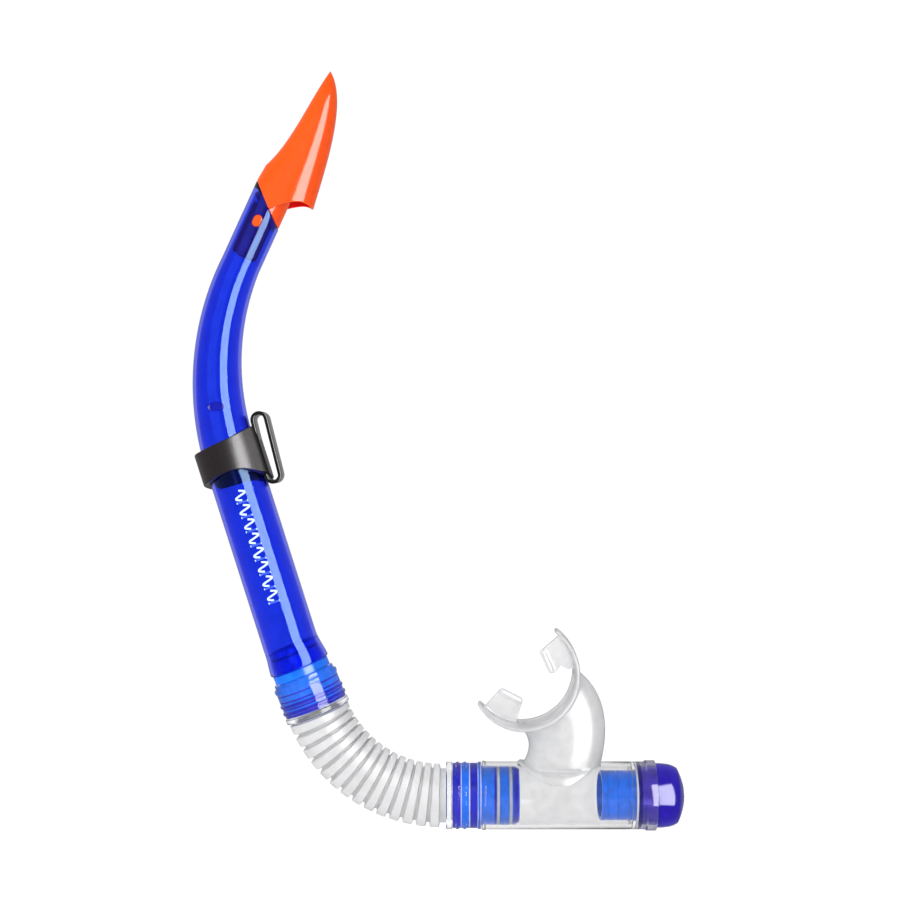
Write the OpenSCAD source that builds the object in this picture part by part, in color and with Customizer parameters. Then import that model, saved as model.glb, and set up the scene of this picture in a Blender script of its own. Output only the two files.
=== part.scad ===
// Snorkel with a splash guard, a sliding strap keeper, a corrugated flexible hose,
// and a swivelling chamber that holds the mouthpiece and the purge valve.
// Millimetres, +Z up, the tube bends in the XZ plane, origin at the centre of the strap slot.

/* [Barrel] */
// Outside diameter of the straight lower barrel, where the keeper slides
barrel_d = 30.4; // [29:0.1:31]
// Outside diameter of the barrel at its top
barrel_top_d = 21.7; // [21:0.1:23]
// Wall thickness of the barrel
barrel_wall = 1.8; // [1.6:0.1:2]
// Lean of the straight lower barrel from vertical
low_lean = 17.7; // [16:0.1:19]
// Lean of the barrel's top from vertical, the other way
top_lean = 24.5; // [22:0.5:26]
// Radius of the barrel's bend
bend_r = 145; // [135:1:155]
// Length of the straight lower barrel
straight_len = 109; // [100:1:120]
// Length of the straight top, up to the middle of the slanted edge
top_len = 35.5; // [34:0.5:40]
// Outside diameter of the bell at the barrel's lower end
bell_d = 33.4; // [33:0.1:34]
// Length of the bell
bell_len = 14; // [12:1:18]
// Lean of the bell and of the hose's upper cuff from vertical
bell_lean = 21.9; // [21:0.1:23]

/* [Splash guard] */
// Height of the guard's tip over the middle of the barrel's slanted edge
guard_h = 80; // [75:1:85]
// Slope of the barrel's slanted top edge
edge_slope = 42.7; // [40:0.1:45]
// Wall thickness of the guard
guard_wall = 1.6; // [1.2:0.1:2]
// Width of the spring tongues
tongue_w = 12.6; // [11:0.1:13]
// Depth of the pips below the middle of the slanted edge
pip_drop = 11.2; // [10:0.1:12]

/* [Strap keeper] */
// Width of the keeper band
band_w = 17.2; // [16:0.1:18]
// Tilt of the band's cut edges
band_tilt = 12; // [8:1:14]
// Distance from the barrel's axis to the middle of the strap slot
slot_reach = 20.7; // [20.6:0.1:21.2]
// Clear width of the strap slot
slot_gap = 5.4; // [5:0.1:6]
// Clear length of the strap slot
slot_len = 36.6; // [34:0.1:38]
// Depth of the clip along the strap
clip_depth = 17; // [14:1:18]
// Thickness of the clip's strip
clip_t = 1.8; // [1.6:0.1:2]

/* [Hose] */
// Outside diameter over the hose's ribs
hose_d = 34.2; // [33.5:0.1:34.5]
// Inside diameter of the hose
hose_bore_d = 27; // [26:0.5:27.5]
// Radius of the hose's bend
hose_r = 73; // [70:1:76]
// Number of ribs on the hose
hose_ribs = 14; // [12:1:15]

/* [Chamber] */
// Outside diameter of the chamber
chamber_d = 36.6; // [36.4:0.1:37]
// Bore of the chamber
chamber_bore_d = 32.2; // [32:0.1:32.4]
// Length of the chamber
chamber_len = 94.9; // [94:0.1:98]
// Radial clearance of the swivelling fits
fit = 0.05; // [0.03:0.01:0.08]

/* [Mouthpiece] */
// Inside radius of the mouth flange
flange_r = 27.8; // [27:0.1:28.5]
// Half of the angle that the mouth flange spans
flange_span = 98.6; // [94:0.1:100]
// Half of the flange's height at its middle
flange_half_h = 18.5; // [17:0.5:20]
// Thickness of the bite tabs
tab_t = 4; // [3:0.5:5]

/* [Hidden] */
$fn = 64;

azure = [0.04, 0.35, 0.95];
clear = [0.86, 0.88, 0.9, 0.6];
eps = 0.01;
big = 200;

// Unit vectors down a tube that leans by a, and to its right
function down(a) = [sin(a), -cos(a)];
function right(a) = [cos(a), sin(a)];
function along(p, v, s) = p + s * v;

// Points of the tube's centre line, as [x, z]
keeper_drop = 5.5;
slot_rise = 2.2;
keeper_p = slot_rise * down(low_lean) - slot_reach * right(low_lean);
bend_low_p = along(keeper_p, down(low_lean), -keeper_drop);
bend_c = along(bend_low_p, right(low_lean), bend_r);
bend_top_p = along(bend_c, right(-top_lean), -bend_r);
edge_p = along(bend_top_p, down(-top_lean), -top_len);
elbow_p = along(bend_low_p, down(low_lean), straight_len);
bell_p = along(elbow_p, down(bell_lean), bell_len);
cuff_len = 27.5;
hose_top_p = along(bell_p, down(bell_lean), cuff_len);
hose_c = along(hose_top_p, right(bell_lean), hose_r);
hose_tail = 2.6;
hose_low_p = hose_c + [0, -hose_r];
hose_end_p = hose_low_p + [hose_tail, 0];

barrel_r = barrel_d / 2;
top_r = barrel_top_d / 2;
bell_r = bell_d / 2;
spigot_r = 14.2;
plug_r = spigot_r - 0.7;

// Puts children on the centre line at p, with Z up the tube and X to its right
module at_tube(p, lean) {
  translate([p.x, 0, p.y]) rotate([0, -lean, 0]) children();
}

// Puts children on the chamber's axis, with Z along the chamber from the hose's end
module at_chamber() {
  translate([hose_end_p.x, 0, hose_end_p.y]) rotate([0, 90, 0]) children();
}

module tube(r_out, r_in, z0, z1) {
  translate([0, 0, z0]) difference() {
    cylinder(r = r_out, h = z1 - z0);
    translate([0, 0, -1]) cylinder(r = r_in, h = z1 - z0 + 2);
  }
}

module torus(ring_r, wire_r, z) {
  translate([0, 0, z]) rotate_extrude() translate([ring_r, 0]) circle(r = wire_r, $fn = 24);
}

// A solid through rings of equal point count, from the first ring up to the last
module loft(rings) {
  n = len(rings[0]);
  m = len(rings);
  sides = [for (j = [0:m - 2], i = [0:n - 1])
    [j * n + i, (j + 1) * n + i, (j + 1) * n + (i + 1) % n, j * n + (i + 1) % n]];
  bottom = [[for (i = [0:n - 1]) i]];
  top = [[for (i = [0:n - 1]) m * n - 1 - i]];
  polyhedron([for (r = rings) each r], concat(bottom, sides, top), convexity = 6);
}

// An oval ring about c, with half-width a along u in the XZ plane and half-depth b along Y
function rounded(v, power) = sign(v) * pow(abs(v), 2 / power);
function ring(c, u, a, b, n = 32, power = 2) = [for (i = [0:n - 1])
  let (x = a * rounded(cos(360 * i / n), power), y = b * rounded(sin(360 * i / n), power))
  [c.x + u.x * x, y, c.y + u.y * x]];
function ring_between(l, r, b, wall, n = 32, power = 2) =
  let (w = norm(r - l), u = (r - l) / w)
  ring((l + r) / 2, u, w / 2 - wall, b - wall, n, power);
function curve(p, t) = pow(1 - t, 3) * p[0] + 3 * pow(1 - t, 2) * t * p[1]
  + 3 * (1 - t) * t * t * p[2] + pow(t, 3) * p[3];
function mix(a, b, t) = a + (b - a) * t;

// ---- Barrel ----

bend_steps = 14;
barrel_sides = 48;
flare_share = 0.45;
flare_step = 0.2;

function barrel_ring(p, lean, r) = ring(p, right(lean), r, r, barrel_sides);

// The barrel's whole length as one loft, from the bell's lip to past the slanted edge
module barrel_core(wall, bell_rings) {
  elbow = barrel_ring(elbow_p, (bell_lean + low_lean) / 2, barrel_r - wall);
  bend = [for (i = [0:bend_steps]) let (t = i / bend_steps, a = mix(low_lean, -top_lean, t))
    barrel_ring(along(bend_c, right(a), -bend_r), a, mix(barrel_r, top_r, t) - wall)];
  end = barrel_ring(along(edge_p, down(-top_lean), -top_r - 5), -top_lean, top_r - wall);
  loft(concat(bell_rings, [elbow], bend, [end]));
}

function bell_ring(rise, r) = barrel_ring(along(bell_p, down(bell_lean), -rise), bell_lean, r);

// Everything above the barrel's slanted edge, lifted by gap
module above_edge(gap) {
  rotate([0, edge_slope, 0]) translate([-big / 2, -big / 2, gap]) cube(big);
}

pip_half = 0.85;
pip_r = 2.3;

module pip_prism(grow, y0, y1) {
  translate([0, 0, -pip_drop]) rotate([-90, 0, 0]) translate([0, 0, y0]) {
    for (s = [-1, 1]) translate([0, s * pip_half, 0]) cylinder(r = pip_r + grow, h = y1 - y0);
    translate([-pip_r - grow, -pip_half, 0]) cube([2 * (pip_r + grow), 2 * pip_half, y1 - y0]);
  }
}

nub_lean = 7.5;
nub_r = 2.7;
nub_half = 1.7;
nub_base = 13.9;
nub_h = 0.9;

// A raised oval stop above the keeper, on the front of the bend
module stop_nub() {
  at_tube(along(bend_c, right(nub_lean), -bend_r), nub_lean) translate([-0.5, -nub_base, 0])
    rotate([90, 0, 0]) {
      for (s = [-1, 1]) translate([0, s * nub_half, 0]) cylinder(r = nub_r, h = nub_h, $fn = 32);
      translate([-nub_r, -nub_half, 0]) cube([2 * nub_r, 2 * nub_half, nub_h]);
    }
}

module barrel() {
  color([0.05, 0.06, 0.75]) difference() {
    union() {
      barrel_core(0, [bell_ring(0, bell_r), bell_ring(flare_share * bell_len, barrel_r + flare_step)]);
      stop_nub();
    }
    barrel_core(barrel_wall, [bell_ring(-3, plug_r), bell_ring(bell_len - 1, plug_r)]);
    at_tube(edge_p, -top_lean) {
      above_edge(0);
      pip_prism(0.4, -20, 20);
    }
  }
}

// ---- Splash guard ----

guard_tip = [1, guard_h];
guard_left = [[-10, 19.4], [-2, 0.46 * guard_h], [-3, 0.78 * guard_h], guard_tip];
guard_right = [[23.7, 7.7], [20.5, 0.44 * guard_h], [16.5, 0.78 * guard_h], guard_tip];
guard_low = [[-top_r, 2], [24, 5.6]];
guard_half_y = 11.6;
spigot_drop = 5;
spigot_in_r = 7.9;
guard_spigot_r = top_r - barrel_wall - 0.08;
tongue_gap = 0.7;

// The hood's half-depth narrows towards its tip
function hood_half_y(t) = guard_half_y * sqrt(max(0, 1 - 0.93 * pow(t, 1.6)));

module hood(wall, t_end) {
  low = [ring_between(guard_low[0] - [0, wall], guard_low[1] - [0, wall], guard_half_y, wall)];
  loft(concat(low, [for (i = [0:14]) let (t = t_end * i / 14)
    ring_between(curve(guard_left, t), curve(guard_right, t), hood_half_y(t), wall)]));
}

module tongue_cut(side, grow) {
  translate([-tongue_w / 2 - grow, side < 0 ? -20 : 0, -40]) cube([tongue_w + 2 * grow, 20, 39]);
}

module splash_guard() {
  color([1, 0.38, 0.06]) at_tube(edge_p, -top_lean) {
    difference() {
      union() {
        difference() {
          intersection() {
            hood(0, 0.97);
            above_edge(0);
          }
          hood(guard_wall, 0.9);
          cylinder(r = spigot_in_r, h = 14);
        }
        intersection() {
          tube(top_r, spigot_in_r, -20, 6);
          above_edge(0);
        }
        intersection() {
          tube(guard_spigot_r, spigot_in_r, -30, 8);
          above_edge(-spigot_drop);
        }
      }
      for (side = [-1, 1]) difference() {
        tongue_cut(side, 0.3);
        above_edge(0);
      }
    }
  }
}

module guard_tongue(side) {
  color([0.95, 0.3, 0.05]) at_tube(edge_p, -top_lean) {
    difference() {
      intersection() {
        tube(guard_spigot_r - 0.12, spigot_in_r, -32, -1 - tongue_gap);
        tongue_cut(side, 0);
      }
      above_edge(-tongue_gap);
    }
    pip_prism(0, side < 0 ? -top_r - 0.5 : spigot_in_r + 0.5, side < 0 ? -spigot_in_r - 0.5 : top_r + 0.5);
  }
}

// ---- Strap keeper ----

band_r = 18.5;
band_fit = 0.05;
clip_lean = 14.1;
slot_half = slot_gap / 2;
plate_t = 5.5;
plate_w = 19.6;
plate_drop = 12.5;
plate_top = 8;
leg_end = 5;
clip_out = slot_half + clip_t;
clip_half = slot_len / 2 - slot_half;

// Turns children about the middle of the slot, into the clip's frame
module at_clip() {
  rotate([0, -clip_lean, 0]) children();
}

module stadium(r, half) {
  for (s = [-1, 1]) translate([0, s * half]) circle(r = r);
  translate([-r, -half]) square([2 * r, 2 * half]);
}

module clip_outline() {
  difference() {
    stadium(clip_out, clip_half);
    stadium(slot_half, clip_half);
    translate([-clip_out - 1, -clip_half + 1.6]) square([clip_t + 1, clip_half - 1.6 + leg_end]);
  }
}

module keeper_clip() {
  color([0.05, 0.05, 0.05]) at_clip() translate([0, clip_depth / 2, 0]) rotate([90, 0, 0])
    linear_extrude(clip_depth) clip_outline();
}

module keeper_band() {
  color([0.2, 0.17, 0.17]) difference() {
    union() {
      at_tube(keeper_p, low_lean) intersection() {
        translate([0, 0, -big / 2]) cylinder(r = band_r, h = big);
        rotate([-band_tilt, 0, 0]) translate([-30, -30, -band_w / 2 + 1]) cube([60, 60, band_w]);
      }
      at_clip() translate([-slot_half - plate_t, -plate_w / 2, -plate_drop])
        cube([plate_t, plate_w, plate_drop + plate_top]);
    }
    at_tube(keeper_p, low_lean) translate([0, 0, -big / 2])
      cylinder(r = barrel_r + band_fit, h = big);
    at_clip() {
      translate([-slot_half, -50, -50]) cube(100);
      translate([-slot_half - clip_t, -clip_depth / 2, leg_end]) cube([clip_t + 1, clip_depth, 20]);
    }
  }
}

// ---- Upper coupling ----

flange_top = -0.4;
flange_h = 4.6;
cuff_r = 18.2;
plug_in = 12;
bore_r = 11.6;
cuff_top = -5.2;
seal_z = plug_in - 4;
seal_wire = 0.55;

module upper_connector() {
  color(azure) at_tube(bell_p, bell_lean) {
    difference() {
      union() {
        tube(plug_r - 0.1, bore_r, -24.5, plug_in);
        tube(15.8, bore_r, flange_top - flange_h, flange_top);
        tube(spigot_r, bore_r, -24.5, flange_top - 1);
      }
      tube(plug_r, plug_r - 1.3, seal_z - 0.7, seal_z + 0.7);
    }
  }
}

module barrel_seal() {
  color([0.1, 0.1, 0.12]) at_tube(bell_p, bell_lean)
    torus(plug_r - seal_wire - 0.07, seal_wire, seal_z);
}

module cuff_rings(z_list) {
  for (z = z_list) tube(cuff_r, cuff_r - 1, z, z + 1.6);
}

module hose_cuff_upper() {
  color(clear) at_tube(bell_p, bell_lean) {
    tube(cuff_r - 0.6, spigot_r + fit, -cuff_len, cuff_top);
    cuff_rings([-26.5, -22.5, -18.5, -9]);
  }
}

// ---- Corrugated hose ----

root_drop = 2.4;
hose_sides = 24;

// Radius of the hose's outside at each quarter of a rib: groove, rise, crest, fall
rib_profile = [[0.06, root_drop], [0.3, 0], [0.7, 0], [0.94, root_drop]];

function hose_ring(a, r) =
  ring(along(hose_c, right(a), -hose_r), right(a), r, r, hose_sides);
function hose_tail_ring(x, r) = ring(hose_low_p + [x, 0], right(90), r, r, hose_sides);
function rib_lean(i, part) = mix(90, bell_lean, (i + part) / hose_ribs);

module hose_outside() {
  loft(concat(
    [for (x = [hose_tail, 0]) hose_tail_ring(x, hose_d / 2 - root_drop)],
    [for (i = [0:hose_ribs - 1], p = rib_profile) hose_ring(rib_lean(i, p[0]), hose_d / 2 - p[1])],
    [hose_ring(bell_lean, hose_d / 2 - root_drop)]
  ));
}

module hose_bore() {
  steps = 14;
  top_ring = ring(along(hose_top_p, down(bell_lean), -1), right(bell_lean),
    hose_bore_d / 2, hose_bore_d / 2, hose_sides);
  loft(concat(
    [hose_tail_ring(hose_tail + 1, hose_bore_d / 2)],
    [for (i = [0:steps]) hose_ring(mix(90, bell_lean, i / steps), hose_bore_d / 2)],
    [top_ring]
  ));
}

module corrugated_hose() {
  color(clear) difference() {
    hose_outside();
    hose_bore();
  }
}

// ---- Lower coupling ----

low_cuff_len = 19.4;
connector_start = 3.4;
connector_end = 40;
joint_gap = 0.4;
journal_r = chamber_bore_d / 2 - fit;
o_ring_z = [28.4, 35.2];
o_ring_wire = 0.9;

module hose_cuff_lower() {
  color(clear) at_chamber() {
    tube(cuff_r - 0.6, spigot_r, 0, low_cuff_len);
    cuff_rings([1.4, 5.4, 9.4, 17.6]);
  }
}

module hose_connector() {
  color(azure) at_chamber() difference() {
    union() {
      cylinder(r = spigot_r, h = low_cuff_len + 1);
      translate([0, 0, low_cuff_len]) cylinder(r = journal_r, h = 18);
      translate([0, 0, low_cuff_len + 18])
        cylinder(r1 = journal_r, r2 = journal_r - 1.6, h = connector_end - low_cuff_len - 18);
    }
    translate([0, 0, -1]) cylinder(r = bore_r, h = 60);
    cylinder(r = spigot_r + 1, h = connector_start);
    for (z = o_ring_z) tube(journal_r + 1, journal_r - 1.85, z - 1, z + 1);
  }
}

module connector_o_ring(i) {
  color([0.9, 0.92, 0.95]) at_chamber() torus(journal_r - o_ring_wire, o_ring_wire, o_ring_z[i]);
}

// ---- Chamber ----

chamber_z0 = low_cuff_len + joint_gap;
chamber_z1 = chamber_z0 + chamber_len;
ledge_z = chamber_z1 - 11.2;
ledge_r = 14.2;
port_z = 61.6;
port_half = 9;
port_r = 8.5;

module port() {
  rotate([0, -90, 0]) for (s = [-1, 1]) translate([port_z + s * port_half, 0, 8])
    cylinder(r = port_r, h = 20);
  translate([-28, -port_r, port_z - port_half]) cube([20, 2 * port_r, 2 * port_half]);
}

module chamber() {
  color(clear) at_chamber() difference() {
    union() {
      tube(chamber_d / 2, chamber_bore_d / 2, chamber_z0, chamber_z1);
      tube(chamber_d / 2 + 0.7, chamber_bore_d / 2, chamber_z1 - 5.3, chamber_z1);
      tube(chamber_d / 2 + 0.4, chamber_bore_d / 2, chamber_z0, chamber_z0 + 1.4);
      tube(chamber_d / 2, ledge_r, ledge_z - 2, ledge_z);
    }
    port();
  }
}

// ---- Purge valve ----

seat_z = ledge_z + 0.9;
seat_web = 2.2;
stem_r = 1.2;
disc_r = 11.5;
disc_z = seat_z + seat_web;
lift = 1.2;

module seat_gasket() {
  color([0.75, 0.78, 0.82]) at_chamber() tube(chamber_bore_d / 2, ledge_r, ledge_z, seat_z);
}

module valve_seat() {
  color(azure) at_chamber() difference() {
    union() {
      tube(13.6, 11.8, ledge_z - 18.5, disc_z);
      translate([0, 0, seat_z]) cylinder(r = chamber_bore_d / 2, h = seat_web);
    }
    for (z = [-16, -10.5, -4]) tube(14, 13.1, ledge_z + z, ledge_z + z + 1);
    difference() {
      tube(9.6, 3.4, seat_z - 1, disc_z + 1);
      for (a = [0, 60, 120]) rotate([0, 0, a]) translate([-20, -0.8, seat_z - 2])
        cube([40, 1.6, 10]);
    }
    translate([0, 0, seat_z - 1]) cylinder(r = stem_r + fit, h = 10);
  }
}

module purge_diaphragm() {
  color([0.95, 0.95, 0.97]) at_chamber() translate([0, 0, disc_z]) {
    translate([0, 0, 0.05]) cylinder(r1 = disc_r, r2 = disc_r - 0.5, h = 0.9);
    translate([0, 0, -seat_web - 2.8]) cylinder(r = stem_r, h = seat_web + 3);
    translate([0, 0, -seat_web - lift - 2]) cylinder(r1 = 1.3, r2 = 2, h = 1.9);
  }
}

cover_z0 = chamber_z1 + 0.1;
cover_r = 17.4;
cover_wall = 1.8;
cover_len = 15.9;
dome_r = 14.9;
dome_z = 12;
dome_h = cover_len - dome_z;
hole_r = 1.6;
hole_ring_r = 8.6;
hole_count = 8;

function dome(r) = dome_z + dome_h * (1 - pow(r / dome_r, 2));

// The cover's outline, smaller by wall, with a shallow domed end
module cover_outline(wall) {
  side_r = cover_r - wall;
  edge_r = dome_r - wall;
  rotate_extrude() polygon(concat(
    [[0, 0], [side_r, 0], [side_r, 3], [side_r - 0.4, 7], [side_r - 1.1, 9.5]],
    [[edge_r + 0.3, dome(edge_r) - wall - 0.3]],
    [for (i = [0:8]) let (r = edge_r * (1 - i / 8)) [r, dome(r) - wall]]
  ));
}

module purge_cover() {
  color([0.12, 0.08, 0.6]) at_chamber() difference() {
    union() {
      translate([0, 0, cover_z0]) cover_outline(0);
      translate([0, 0, disc_z]) cylinder(r = chamber_bore_d / 2, h = cover_z0 - disc_z + 1);
    }
    translate([0, 0, cover_z0]) cover_outline(cover_wall);
    translate([0, 0, disc_z - 1]) cylinder(r = 14.6, h = cover_z0 - disc_z + 2);
    translate([0, 0, cover_z0 + 8]) {
      cylinder(r = hole_r, h = 12, $fn = 24);
      for (i = [0:hole_count - 1]) rotate([0, 0, i * 360 / hole_count])
        translate([hole_ring_r, 0, 0]) cylinder(r = hole_r, h = 12, $fn = 24);
    }
  }
}

// ---- Mouthpiece ----

flange_c = hose_end_p + [42.2, 67.7];
mouth_a = -46.3;
flange_t = 3.1;
duct_left = [[41, 16], [46.5, 24], [47.5, 31], [40.2, 38.6]];
duct_right = [[84.6, 16], [88.5, 32], [91.5, 55], [71.4, 69.6]];
duct_half_y = 13;
duct_wall = 2.4;
tab_in_r = 15.2;

module mouth_flange() {
  steps = 26;
  loft([for (i = [0:steps])
    let (t = 2 * i / steps - 1, a = mouth_a + flange_span * t, edge = 1 - pow(abs(t), 5),
      half_t = flange_t / 2 * (0.45 + 0.55 * edge), half_h = flange_half_h * (0.45 + 0.55 * edge),
      mid = flange_r + flange_t / 2)
    ring(flange_c + mid * [cos(a), sin(a)], [cos(a), sin(a)], half_t, half_h, 20, 3)]);
}

module duct(wall) {
  ends = wall > 0 ? [-0.12, 1.1] : [0, 1];
  loft([for (i = [0:12]) let (t = mix(ends[0], ends[1], i / 12))
    ring_between(hose_end_p + curve(duct_left, t), hose_end_p + curve(duct_right, t),
      duct_half_y, wall, 32, 2.4)]);
}

module along_mouth_y(h) {
  translate([flange_c.x, h / 2, flange_c.y]) rotate([90, 0, 0]) linear_extrude(h) children();
}

module bite_tab(side) {
  along_mouth_y(tab_t) rotate(mouth_a) polygon([
    (flange_r + 1) * [cos(side * 52), sin(side * 52)],
    (flange_r + 1) * [cos(side * 92), sin(side * 92)],
    tab_in_r * [cos(side * 97), sin(side * 97)],
    tab_in_r * [cos(side * 44), sin(side * 44)]
  ]);
}

module bite_bead(side) {
  ends = [for (a = [44, 97]) flange_c + (tab_in_r + 1) * right(mouth_a + side * a)];
  mid = (ends[0] + ends[1]) / 2;
  span = ends[1] - ends[0];
  translate([mid.x, 0, mid.y]) rotate([0, atan2(span.x, span.y), 0]) hull()
    for (y = [-1.4, 1.4], s = [-0.36, 0.36]) translate([0, y, s * norm(span)]) sphere(r = 1.7, $fn = 16);
}

module saddle() {
  intersection() {
    at_chamber() tube(chamber_d / 2 + 1.4, chamber_d / 2 + eps, port_z - 24, port_z + 24);
    translate([hose_end_p.x + port_z, 0, hose_end_p.y]) scale([23, 17.4, 1])
      cylinder(r = 1, h = 40, $fn = 48);
  }
}

module mouthpiece() {
  color([0.93, 0.94, 0.96, 0.7]) {
    difference() {
      union() {
        difference() {
          duct(0);
          along_mouth_y(60) circle(r = flange_r);
        }
        mouth_flange();
        saddle();
      }
      duct(duct_wall);
      at_chamber() translate([0, 0, 20]) cylinder(r = chamber_d / 2 + eps, h = 90);
    }
    for (side = [-1, 1]) {
      bite_tab(side);
      bite_bead(side);
    }
  }
}

keeper_band();
keeper_clip();
barrel();
splash_guard();
guard_tongue(-1);  // guard_tongue_front
guard_tongue(1);  // guard_tongue_back
upper_connector();
barrel_seal();
hose_cuff_upper();
corrugated_hose();
hose_cuff_lower();
hose_connector();
connector_o_ring(0);  // connector_o_ring_1
connector_o_ring(1);  // connector_o_ring_2
chamber();
mouthpiece();
seat_gasket();
valve_seat();
purge_diaphragm();
purge_cover();
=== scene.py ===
"""Looks of the snorkel tube. Everything is modelled in millimetres and written to Blender in metres."""

import math

import bmesh
import bpy
from mathutils import Matrix, Vector


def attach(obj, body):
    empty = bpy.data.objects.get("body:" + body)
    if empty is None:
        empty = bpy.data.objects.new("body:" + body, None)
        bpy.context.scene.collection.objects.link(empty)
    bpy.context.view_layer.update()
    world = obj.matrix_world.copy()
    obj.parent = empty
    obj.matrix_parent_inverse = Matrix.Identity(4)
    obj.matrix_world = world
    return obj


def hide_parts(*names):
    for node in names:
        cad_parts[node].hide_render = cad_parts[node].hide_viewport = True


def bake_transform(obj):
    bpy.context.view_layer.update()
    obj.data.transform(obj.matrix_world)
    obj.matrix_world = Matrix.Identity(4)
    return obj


MM = 0.001
AXIS_Y = Vector((0, 1, 0))

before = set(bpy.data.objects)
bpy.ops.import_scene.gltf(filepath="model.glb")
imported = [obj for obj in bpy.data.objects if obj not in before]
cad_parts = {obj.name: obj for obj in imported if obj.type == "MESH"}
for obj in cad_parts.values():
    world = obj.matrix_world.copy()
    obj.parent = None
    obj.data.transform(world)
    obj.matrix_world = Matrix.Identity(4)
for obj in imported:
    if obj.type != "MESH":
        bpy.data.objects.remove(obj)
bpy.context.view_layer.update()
scene = bpy.context.scene


# ---- Centre line, as in the part ----


def down(lean):
    """Direction down the tube where it leans by lean degrees; right is square to it, to the right."""
    a = math.radians(lean)
    return Vector((math.sin(a), 0, -math.cos(a)))


def right(lean):
    a = math.radians(lean)
    return Vector((math.cos(a), 0, math.sin(a)))


def place(point, lean):
    """Tube frame: X to the right of the tube, Y away from the camera, Z up the tube."""
    x, z = right(lean), -down(lean)
    return Matrix(((x.x, 0, z.x, point.x), (0, 1, 0, point.y), (x.z, 0, z.z, point.z), (0, 0, 0, 1)))


LOW_LEAN, TOP_LEAN, BELL_LEAN = 17.7, -24.5, 21.9
BARREL_R, TOP_R, BELL_R, WALL = 15.2, 10.85, 16.7, 1.8
BEND_R, STRAIGHT, TOP_LEN, BELL_LEN, CUFF_LEN = 145, 109, 35.5, 14, 27.5
HOSE_R, HOSE_TAIL = 73, 2.6
EDGE_SLOPE, PIP_DROP = math.radians(42.7), 11.2

KEEPER = 2.2 * down(LOW_LEAN) - 20.7 * right(LOW_LEAN)
BEND_LOW = KEEPER - 5.5 * down(LOW_LEAN)
BEND_C = BEND_LOW + BEND_R * right(LOW_LEAN)
BEND_TOP = BEND_C - BEND_R * right(TOP_LEAN)
EDGE = BEND_TOP - TOP_LEN * down(TOP_LEAN)
ELBOW = BEND_LOW + STRAIGHT * down(LOW_LEAN)
BELL = ELBOW + BELL_LEN * down(BELL_LEAN)
HOSE_TOP = BELL + CUFF_LEN * down(BELL_LEAN)
HOSE_C = HOSE_TOP + HOSE_R * right(BELL_LEAN)
HOSE_LOW = HOSE_C + Vector((0, 0, -HOSE_R))
HOSE_END = HOSE_LOW + Vector((HOSE_TAIL, 0, 0))

AT_EDGE = place(EDGE, TOP_LEAN)
AT_BELL = place(BELL, BELL_LEAN)
AT_KEEPER = place(KEEPER, LOW_LEAN)
CLIP_LEAN = 14.1
AT_CLIP = place(Vector((0, 0, 0)), CLIP_LEAN)
AT_CHAMBER = Matrix(((0, 0, 1, HOSE_END.x), (0, 1, 0, 0), (-1, 0, 0, HOSE_END.z), (0, 0, 0, 1)))


# ---- Mesh helpers ----


def on_circle(k, n):
    """Cosine and sine of the k-th of n equal steps round a circle."""
    a = 2 * math.pi * k / n
    return math.cos(a), math.sin(a)


def build(name, verts, faces, materials, face_slots=None, angle=32):
    """An object from points in millimetres; angle is where its smooth shading breaks."""
    mesh = bpy.data.meshes.new(name)
    mesh.from_pydata([Vector(v) * MM for v in verts], [], faces)
    for m in materials:
        mesh.materials.append(m)
    if face_slots:
        mesh.polygons.foreach_set("material_index", face_slots)
    bm = bmesh.new()
    bm.from_mesh(mesh)
    bmesh.ops.remove_doubles(bm, verts=bm.verts, dist=1e-7)
    bmesh.ops.dissolve_degenerate(bm, edges=bm.edges, dist=1e-8)
    bmesh.ops.recalc_face_normals(bm, faces=bm.faces)
    bm.to_mesh(mesh)
    bm.free()
    obj = bpy.data.objects.new(name, mesh)
    scene.collection.objects.link(obj)
    shade(obj, angle)
    return obj


def shade(obj, angle=32):
    """Smooth shading that breaks at edges sharper than angle."""
    obj.data.polygons.foreach_set("use_smooth", [True] * len(obj.data.polygons))
    obj.data.set_sharp_from_angle(angle=math.radians(angle))
    obj.data.update()


def skin(rings, closed=False, slots=None):
    """Faces between rings of equal point count; the ends are capped unless the last ring joins the first."""
    n, m = len(rings[0]), len(rings)
    verts = [p for r in rings for p in r]
    faces, face_slots = [], []
    for j in range(m if closed else m - 1):
        k = (j + 1) % m
        for i in range(n):
            faces.append((j * n + i, k * n + i, k * n + (i + 1) % n, j * n + (i + 1) % n))
            face_slots.append(slots[j] if slots else 0)
    if not closed:
        faces += [tuple(range(n)), tuple(range((m - 1) * n, m * n))[::-1]]
        face_slots += [0, 0]
    return verts, faces, face_slots


def rounded(points, radius, steps=5):
    """A closed profile with its corners rounded, except where it hardly turns."""
    out = []
    for i, p in enumerate(points):
        p, a, b = Vector(p), Vector(points[i - 1]), Vector(points[(i + 1) % len(points)])
        u, v = a - p, b - p
        room = min(u.length, v.length) * 0.48
        turn = u.angle(v) if u.length and v.length else math.pi
        if turn > math.radians(177):
            out.append(p)
            continue
        cut = min(radius / math.tan(turn / 2), room)
        start, end = p + u.normalized() * cut, p + v.normalized() * cut
        out += [start.lerp(p, t).lerp(p.lerp(end, t), t) for t in [k / steps for k in range(steps + 1)]]
    return out


def lathe(name, matrix, profile, materials, seg=112, slot_of=None, angle=32):
    """A closed profile of (radius, z) turned about the frame's Z."""
    rings = [[matrix @ Vector((r * c, r * s, z)) for c, s in (on_circle(i, seg) for i in range(seg))]
             for r, z in profile]
    slots = [slot_of(*((Vector(profile[j]) + Vector(profile[(j + 1) % len(profile)])) / 2)) if slot_of else 0
             for j in range(len(profile))]
    verts, faces, face_slots = skin(rings, closed=True, slots=slots)
    return build(name, verts, faces, materials, face_slots, angle)


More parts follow.
